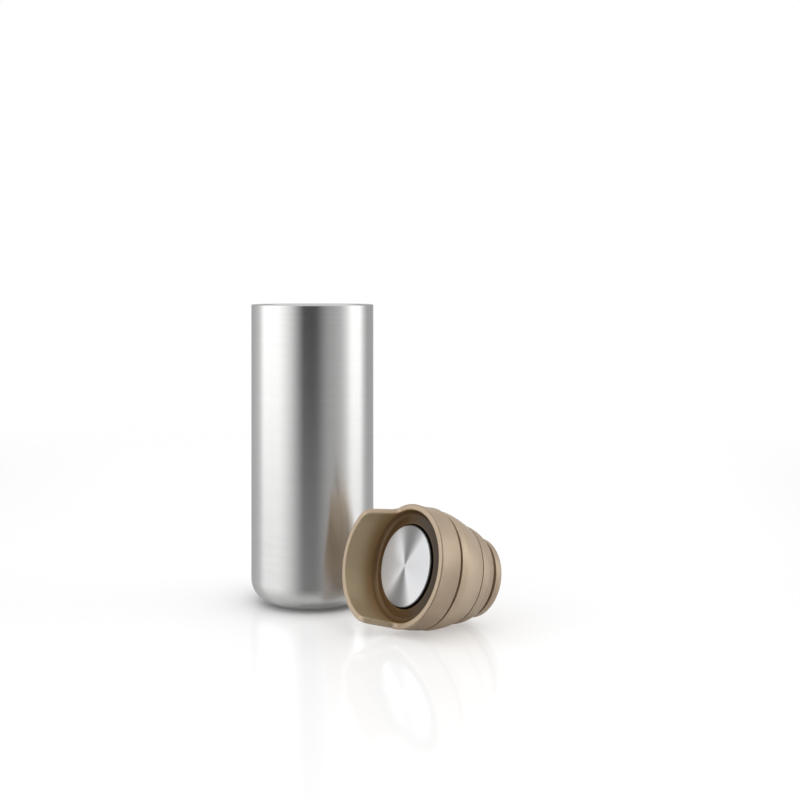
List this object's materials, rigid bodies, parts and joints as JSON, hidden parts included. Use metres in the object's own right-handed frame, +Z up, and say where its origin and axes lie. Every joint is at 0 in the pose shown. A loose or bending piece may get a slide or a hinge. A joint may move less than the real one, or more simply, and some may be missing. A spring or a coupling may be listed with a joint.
{
  "type": "insulated travel mug",
  "caption": "Double-wall steel travel mug standing open, with its push-button plug lid lying on its side beside it.",
  "frame": {"origin": "centre of the mug's foot, on the table", "axes": "+Z up along the mug's axis; the lid lies towards +X and -Y, its button facing -X and -Y"},
  "size_m": [0.1391, 0.1303, 0.1695],
  "materials": {
    "body_steel": "fine horizontal brushing, bright",
    "liner_steel": "satin",
    "base_steel": "satin",
    "solder_glass": "dull grey glass drop",
    "foot_rubber": "matte",
    "getter_metal": "sintered, matte",
    "foil_copper": "thin bright copper foil",
    "lid_plastic": "taupe with a soft metallic sheen, semi-gloss",
    "sleeve_plastic": "taupe with a soft metallic sheen, semi-gloss",
    "plug_plastic": "taupe, satin",
    "seal_silicone": "dark taupe, soft sheen",
    "plug_silicone": "taupe, satin sheen",
    "cage_plastic": "taupe, semi-gloss",
    "valve_plastic": "taupe, semi-gloss",
    "cam_plastic": "natural white acetal",
    "stem_plastic": "natural white acetal",
    "spring_steel": "drawn wire",
    "button_steel": "turned in fine rings",
    "button_plastic": "black, semi-gloss"
  },
  "bodies": {
    "mug": {"outer_shell": "body_steel", "inner_liner": "liner_steel", "base_plate": "base_steel", "sealing_bead": "solder_glass", "foot_pad": "foot_rubber", "getter": "getter_metal", "insulation_foil": "foil_copper"},
    "lid": {"cup_shell": "lid_plastic", "collar_sleeve": "sleeve_plastic", "plug_body": "plug_plastic", "seat_gasket": "seal_silicone", "main_seal": "plug_silicone", "valve_cage": "cage_plastic", "cage_ring": "seal_silicone", "cam_guide": "cam_plastic", "return_spring": "spring_steel"},
    "button": {"button_disc": "button_steel", "button_carrier": "button_plastic", "valve_stem": "stem_plastic", "valve_plate": "valve_plastic", "valve_seal": "seal_silicone", "valve_nut": "cam_plastic"},
    "rotor": {"click_rotor": "cam_plastic"}
  },
  "joints": [
    {"name": "lid_lift", "type": "slide", "parent": "mug", "child": "lid", "axis": [0, 0, 1], "range_m": [0, 0.12]},
    {"name": "button_press", "type": "slide", "parent": "lid", "child": "button", "axis": [0.8, 0.5437, -0.2538], "range_m": [0, 0.0045], "stiffness_N_per_m": 1500, "springref_m": -0.001, "deforming": ["return_spring"]},
    {"name": "click_turn", "type": "hinge", "parent": "button", "child": "rotor", "pos_m": [0.0631, -0.0613, 0.03122], "axis": [-0.8, -0.5437, 0.2538], "range_deg": [0, 45]}
  ],
  "couplings": [
    {"joint": "click_turn", "follows": "button_press", "rad_per_m": 174.5}
  ]
}
